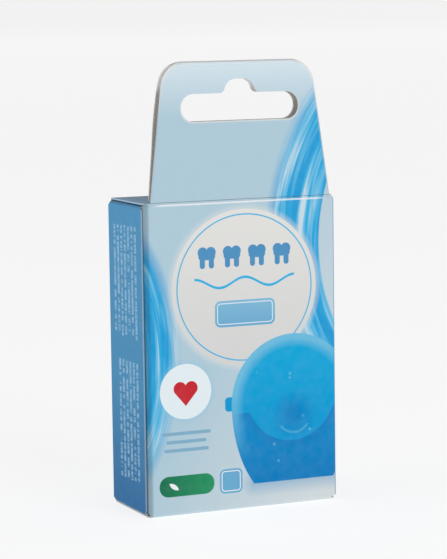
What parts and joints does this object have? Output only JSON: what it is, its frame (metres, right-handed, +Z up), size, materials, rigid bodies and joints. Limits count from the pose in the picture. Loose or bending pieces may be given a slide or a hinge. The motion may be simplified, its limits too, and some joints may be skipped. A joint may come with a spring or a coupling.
{
  "type": "dental floss dispenser in hanging carton",
  "caption": "Folded board carton with a slotted hang tab and tuck-in closure, holding a round flip-lid floss dispenser with its spool, thread guide and cutter.",
  "frame": {"origin": "middle of the carton's footprint, at the base of the overall box", "axes": "+Z up, +X to the right seen from the front, -Y towards the front panel"},
  "size_m": [0.0524, 0.0238, 0.1123],
  "materials": {
    "carton_sleeve": "coated, printed",
    "hang_tab": "coated, printed",
    "base_panel": "coated, printed",
    "base_tuck_flap": "coated, printed",
    "base_left_flap": "bare board",
    "base_right_flap": "bare board",
    "top_closure": "coated, printed",
    "tuck_flap": "coated, printed",
    "left_dust_flap": "bare board",
    "right_dust_flap": "bare board",
    "case_front": "moulded, satin",
    "case_rear": "moulded, satin",
    "flip_lid": "moulded, glossy",
    "guide_insert": "moulded, satin",
    "cutter_blade": "stamped",
    "floss_strand": "waxed thread",
    "floss_spool": "moulded",
    "floss_winding": "waxed thread"
  },
  "bodies": {
    "carton": {"carton_sleeve": "carton_sleeve", "hang_tab": "hang_tab", "base_panel": "base_panel", "base_tuck_flap": "base_tuck_flap", "base_left_flap": "base_left_flap", "base_right_flap": "base_right_flap"},
    "closure": {"top_closure": "top_closure"},
    "tuck": {"tuck_flap": "tuck_flap"},
    "left_flap": {"left_dust_flap": "left_dust_flap"},
    "right_flap": {"right_dust_flap": "right_dust_flap"},
    "dispenser": {"case_front": "case_front", "case_rear": "case_rear", "guide_insert": "guide_insert", "cutter_blade": "cutter_blade", "floss_strand": "floss_strand"},
    "lid": {"flip_lid": "flip_lid"},
    "spool": {"floss_spool": "floss_spool", "floss_winding": "floss_winding"}
  },
  "joints": [
    {"name": "closure_open", "type": "hinge", "parent": "carton", "child": "closure", "pos_m": [0, -0.0102, 0.07805], "axis": [1, 0, 0], "range_deg": [0, 80]},
    {"name": "tuck_fold", "type": "hinge", "parent": "closure", "child": "tuck", "pos_m": [0, 0.01075, 0.07705], "axis": [1, 0, 0], "range_deg": [-66, 0]},
    {"name": "left_dust_fold", "type": "hinge", "parent": "carton", "child": "left_flap", "pos_m": [-0.02505, 0, 0.0771], "axis": [0, 1, 0], "range_deg": [0, 70]},
    {"name": "right_dust_fold", "type": "hinge", "parent": "carton", "child": "right_flap", "pos_m": [0.02505, 0, 0.0771], "axis": [0, -1, 0], "range_deg": [0, 70]},
    {"name": "dispenser_lift", "type": "slide", "parent": "carton", "child": "dispenser", "axis": [0, 0, -1], "range_m": [-0.03, 0]},
    {"name": "lid_hinge", "type": "hinge", "parent": "dispenser", "child": "lid", "pos_m": [-0.0125, 0, 0.0347], "axis": [0, -1, 0], "range_deg": [0, 90]},
    {"name": "spool_spin", "type": "hinge", "parent": "dispenser", "child": "spool", "pos_m": [0, 0, 0.0207], "axis": [0, 1, 0], "continuous": true}
  ],
  "couplings": [
    {"joint": "tuck_fold", "follows": "closure_open", "ratio": -0.8}
  ]
}
